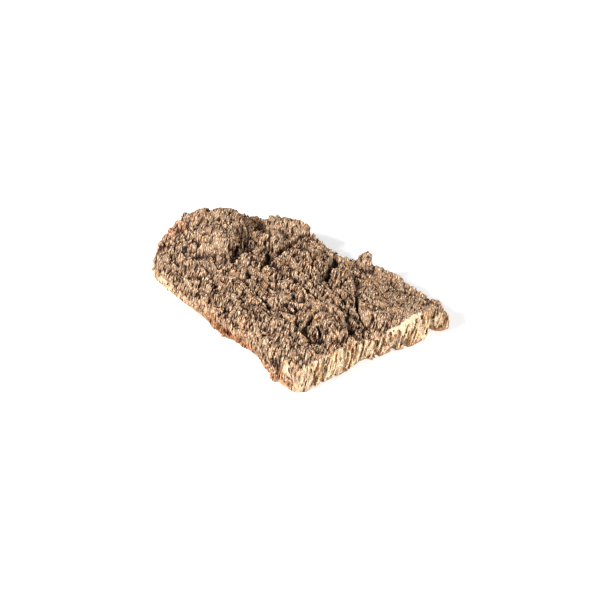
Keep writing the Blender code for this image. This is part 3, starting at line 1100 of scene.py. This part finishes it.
def shaded_in_low_places(tree, surface, shade_colour, proud, start, full, amount):
    """A colour with painted shade where the surface lies between the start level and the full one."""
    sockets = {"Color": surface, "Shade": shade_colour, "Proud": proud}
    sockets |= {"Start": start, "Full": full, "Amount": amount}
    return place_group(tree, gap_shade_group, sockets)["Color"]


# %% [markdown]
# ## The weathered bark and its cut faces
#
# The outer face is grey-brown and mottled: each chip has its own tone, the gaps are painted nearly black as
# shade, and rubbed edges are pale. The cut faces are fresh cork, cream to orange, with the dark slots. One
# material holds both, because they meet in a ragged, mixed edge.

# %% Weathered bark: the chips' own tones
bark_finish = bpy.data.materials.new("weathered_bark")
bark_finish.use_nodes = True
tree = bark_finish.node_tree
shader = tree.nodes["Principled BSDF"]
ACROSS_GRAIN = (0.0, 0.0, math.radians(124.0))  # the way the chips lie, seen from above
grain = place_group(tree, grain_group, {"Size": 800.0})
chips = place_group(tree, chips_group, {"Size": 700.0, "Turn": ACROSS_GRAIN, "Stretch": (4.6, 1.0, 5.0)})
broad = place_group(tree, chips_group, {"Size": 400.0, "Turn": ACROSS_GRAIN, "Stretch": (4.0, 1.0, 3.0)})
proud, proud_wide = mask(tree, "proud"), mask(tree, "proud_wide")
# The proud masks paint proud places a little lighter and low places a little darker, as painted light and
# shade.
TONE_PARTS = [
    (chips["Tone"], 0.85),
    (broad["Tone"], 0.30),
    (mask(tree, "chip"), 0.12),
    (grain["Speckle"], 0.16),
    (proud, 0.05),
    (proud_wide, 0.03),
    (mask(tree, "pale"), 0.04),
    # edge: worn rims paler, and painted shade in the gap at a ledge's foot
    (mask(tree, "edge"), 0.16),
]
CHIP_TONES = [
    (0.40, colour(0.020, 0.008, 0.004)),
    (0.44, colour(0.25, 0.112, 0.054)),
    (0.48, colour(0.72, 0.378, 0.202)),
    (0.52, colour(1.0, 0.685, 0.446)),
]
crust = tone_ramp(tree, weighed(tree, TONE_PARTS, -0.183), CHIP_TONES)
print("each chip's tone is weighed from", len(TONE_PARTS), "parts and has", len(CHIP_TONES), "stops")

# %% Weathered bark: patches of other tints
PATCHES = [  # tint, size, cover, strength, place
    (colour(1.08, 0.86, 0.68), 60.0, 0.49, 0.8, 1.0),  # warm brown
    (colour(1.35, 1.35, 1.35), 150.0, 0.42, 0.6, 2.0),  # rubbed pale
    (colour(0.74, 0.84, 0.46), 210.0, 0.44, 0.9, 3.0),  # olive algae
    (colour(1.25, 0.66, 0.50), 170.0, 0.43, 0.9, 4.0),  # rusty red
    (colour(0.38, 0.34, 0.34), 120.0, 0.42, 0.7, 5.0),  # soot
]
crust = patched(tree, crust, PATCHES)
# Painted shade: the bark is darkened in wide hollows and valleys, by how far each point lies below its
# surroundings.
valley_shade = blend(tree, 1.0, crust, colour(0.40, 0.34, 0.31), "MULTIPLY")
crust = blend(tree, fit_range(tree, proud_wide, 0.3, -1.2), crust, valley_shade)
rusty = blend(tree, 1.0, crust, colour(1.25, 0.80, 0.62), "MULTIPLY")
crust = blend(tree, weighed(tree, [(mask(tree, "rust"), 0.75)]), crust, rusty)
print(len(PATCHES), "tints over the weathered bark")

# %% Weathered bark: painted shade in the gaps
# Painted shade: the chips' gaps, the small dips and the wide hollows such as the cave are darkened where
# shade falls.
GAP_SHADE, FINE_SHADE = colour(0.045, 0.022, 0.012), colour(0.05, 0.026, 0.016)
HOLLOW_SHADE = colour(0.035, 0.02, 0.014)
crust = blend(tree, weighed(tree, [(chips["Gap"], 0.7)]), crust, GAP_SHADE)
crust = shaded_in_low_places(tree, crust, FINE_SHADE, proud, -0.3, -1.2, 0.7)
crust = shaded_in_low_places(tree, crust, HOLLOW_SHADE, proud_wide, -0.3, -1.2, 0.92)
print("dirt laid in the chips' gaps, the small dips and the wide hollows")

# %% [markdown]
# ## The cut faces' colour
#
# Fresh cork is cream to orange, streaked upright where the growth layers were cut across, and each
# lenticel slot in it is dark. Where the break is old, the crust's colour is mixed back in. The slanted
# bevel was cut cleanly, so it keeps only the grain.

# %% Cut cork: cream and orange streaks with dark slots
UPRIGHT = (0.0, math.radians(-75.0), math.radians(90.0))  # the way the cut cork's flutes stand
streaks = place_group(tree, chips_group, {"Size": 520.0, "Turn": UPRIGHT, "Stretch": (9.0, 1.0, 1.0)})
CORK_TONES = [
    (0.32, colour(0.22, 0.085, 0.030)),
    (0.41, colour(0.72, 0.400, 0.175)),
    (0.52, colour(0.96, 0.690, 0.415)),
    (0.74, colour(1.0, 0.820, 0.580)),
]
streak_tone = weighed(tree, [(streaks["Tone"], 0.9), (grain["Speckle"], 0.15)])
cork = tone_ramp(tree, streak_tone, CORK_TONES)
cork = patched(tree, cork, [(colour(0.82, 0.64, 0.46), 45.0, 0.47, 0.7, 5.0)])
cork = blend(tree, mask(tree, "fresh"), blend(tree, 0.7, cork, crust), cork)
slot_share = fit_range(tree, mask(tree, "slot"), 0.2, 0.8, 0.0, 0.9)
cork = blend(tree, slot_share, cork, colour(0.13, 0.05, 0.022))
# Painted shade in the low places of the cut cork.
cork = shaded_in_low_places(tree, cork, colour(0.13, 0.05, 0.02), proud, -0.25, -1.0, 0.9)
rusty_cork = blend(tree, 1.0, cork, colour(0.64, 0.42, 0.30), "MULTIPLY")
cork = blend(tree, mask(tree, "rust"), cork, rusty_cork)
smooth_cut = blend(tree, grain["Speckle"], colour(0.92, 0.66, 0.40), colour(1.0, 0.84, 0.60))
cork = blend(tree, weighed(tree, [(mask(tree, "bevel"), 0.75)]), cork, smooth_cut)
print("cut cork has", len(CORK_TONES), "tones")

# %% Join the bark and the cut cork in one finish
finish = blend(tree, mask(tree, "cut"), crust, cork)
tree.links.new(finish, shader.inputs["Base Color"])
shader.inputs["Roughness"].default_value = 0.93
shader.inputs["Specular IOR Level"].default_value = 0.25
height = weighed(tree, [(chips["Height"], 1.3), (broad["Height"], 1.0), (grain["Height"], 0.5)])
bump = shader_node(tree, "ShaderNodeBump", {"Height": height, "Strength": 1.0, "Distance": 0.0011})
tree.links.new(bump.outputs["Normal"], shader.inputs["Normal"])
print(bark_finish.name, "has", len(tree.nodes), "nodes")

# %% [markdown]
# ## The inner face's finish
#
# The inside of the bark is smoother and browner than the cut cork, with ribs along the grain and the same
# fine pores. It takes the same grain and patches as the outer face, and the same painted shade in its low
# places, with its own values.

# %% Inner face
inner_finish = bpy.data.materials.new("inner_bark")
inner_finish.use_nodes = True
tree = inner_finish.node_tree
shader = tree.nodes["Principled BSDF"]
grain = place_group(tree, grain_group, {"Size": 500.0, "Stretch": (0.25, 1.0, 1.0)})
inner = blend(tree, grain["Speckle"], colour(0.20, 0.10, 0.05), colour(0.46, 0.27, 0.15))
INNER_PATCHES = [
    (colour(1.5, 1.5, 1.4), 40.0, 0.48, 0.8, 6.0),
    (colour(0.45, 0.42, 0.40), 70.0, 0.42, 0.8, 7.0),
]
inner = patched(tree, inner, INNER_PATCHES)
# Painted shade in the low places of the inner face.
inner = shaded_in_low_places(tree, inner, colour(0.05, 0.025, 0.014), mask(tree, "proud"), 0.1, -0.5, 0.9)
tree.links.new(inner, shader.inputs["Base Color"])
shader.inputs["Roughness"].default_value = 0.85
shader.inputs["Specular IOR Level"].default_value = 0.3
bump = shader_node(tree, "ShaderNodeBump", {"Height": grain["Height"], "Strength": 0.5, "Distance": 0.0005})
tree.links.new(bump.outputs["Normal"], shader.inputs["Normal"])
print(inner_finish.name, "has", len(tree.nodes), "nodes")

# %% [markdown]
# ## Giving each face its finish
#
# One mesh can hold several materials, and each face has the number of its own. The faces that were laid out
# as the inner face take the inner finish and all others the weathered one. The last lines hide the imported
# piece that this mesh stands in for, and hang the mesh under the root body so that it moves with it.

# %% Give each face its material
mesh.materials.append(bark_finish)
mesh.materials.append(inner_finish)
mesh.polygons.foreach_set("material_index", (group == INNER).astype(np.int32))
mesh.update()
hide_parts("cork_bark")
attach(bark, "root")
print(int((group == INNER).sum()), "faces have the inner face's finish")

# %% [markdown]
# ## The studio
#
# A pale floor that glows a little, so that shadows stay faint, two soft lights from the left and the
# right, and weak light from all round. Bark is all small relief, so the lights stand low enough to
# rake across it. The sky that the camera sees is brighter than the sky that lights the slab, so
# that the floor's far edge doesn't show as a line.

# %% Floor
FLOOR_HALF = 6.0  # metres
floor_corners = [(x * FLOOR_HALF, y * FLOOR_HALF, 0.0) for x, y in ((-1, -1), (1, -1), (1, 1), (-1, 1))]
floor_mesh = bpy.data.meshes.new("studio_floor")
floor_mesh.from_pydata(floor_corners, [], [(0, 1, 2, 3)])
floor = bpy.data.objects.new("studio_floor", floor_mesh)
bpy.context.scene.collection.objects.link(floor)
floor_finish = bpy.data.materials.new("studio_floor")
floor_finish.use_nodes = True
sockets = {
    "Base Color": colour(0.93, 0.93, 0.93),
    "Roughness": 0.9,
    "Emission Color": colour(1.0, 1.0, 1.0),
    "Emission Strength": 0.35,
}
fill_sockets(floor_finish.node_tree, floor_finish.node_tree.nodes["Principled BSDF"], sockets)
floor_mesh.materials.append(floor_finish)
print("floor", 2 * FLOOR_HALF, "m wide")


# %% Lights
def away_from_slab(azimuth, elevation):
    """The direction from the slab out to something at this azimuth and elevation, in degrees."""
    a, e = math.radians(azimuth), math.radians(elevation)
    return Vector((math.sin(a) * math.cos(e), -math.cos(a) * math.cos(e), math.sin(e)))


def soft_light(name, azimuth, elevation, distance, size, watts):
    """A square area light aimed at the slab."""
    away = away_from_slab(azimuth, elevation)
    lamp = bpy.data.lights.new(name, "AREA")
    lamp.size, lamp.energy = size, watts
    holder = bpy.data.objects.new(name, lamp)
    holder.location = away * distance
    holder.rotation_euler = away.to_track_quat("Z", "Y").to_euler()
    bpy.context.scene.collection.objects.link(holder)
    print(name, "at", [round(v, 2) for v in holder.location], "m,", watts, "W")


soft_light("key_light", -8.0, 36.0, 2.0, 0.5, 74.0)
soft_light("right_fill", 98.0, 26.0, 2.0, 1.2, 36.0)

# %% Light from all round
SKY_LIGHT, SKY_SEEN = 0.17, 0.51
world = bpy.data.worlds.new("studio")
world.use_nodes = True
sky = world.node_tree.nodes["Background"]
sky.inputs["Color"].default_value = colour(1.0, 1.0, 1.0)
seen = shader_node(world.node_tree, "ShaderNodeLightPath").outputs["Is Camera Ray"]
strength = fit_range(world.node_tree, seen, 0.0, 1.0, SKY_LIGHT, SKY_SEEN)
world.node_tree.links.new(strength, sky.inputs["Strength"])
bpy.context.scene.world = world
bpy.context.scene.view_settings.view_transform = "Standard"
print("sky lights the slab at", SKY_LIGHT, "and is seen at", SKY_SEEN)

# %% [markdown]
# ## The camera
#
# The camera stands well back from the corner between the sawn end and the front edge and looks
# down at the slab, with a long lens so that the far end doesn't shrink.

# %% Place the camera
AZIMUTH, ELEVATION, DISTANCE = 52.0, 36.0, 1.4
back = away_from_slab(AZIMUTH, ELEVATION)
right = Vector((math.cos(math.radians(AZIMUTH)), math.sin(math.radians(AZIMUTH)), 0.0))
up_axis = back.cross(right)
aim = Vector((0.0385, -0.0085, 0.015)) - right * 0.0021 + up_axis * 0.0042
camera = bpy.data.objects.new("camera", bpy.data.cameras.new("camera"))
camera.location = aim + back * DISTANCE
camera.rotation_euler = back.to_track_quat("Z", "Y").to_euler()
camera.data.sensor_width = 36.0
camera.data.lens = 79.25
bpy.context.scene.collection.objects.link(camera)
bpy.context.scene.camera = camera
print("camera at", [round(v, 3) for v in camera.location], "m with a", camera.data.lens, "mm lens")
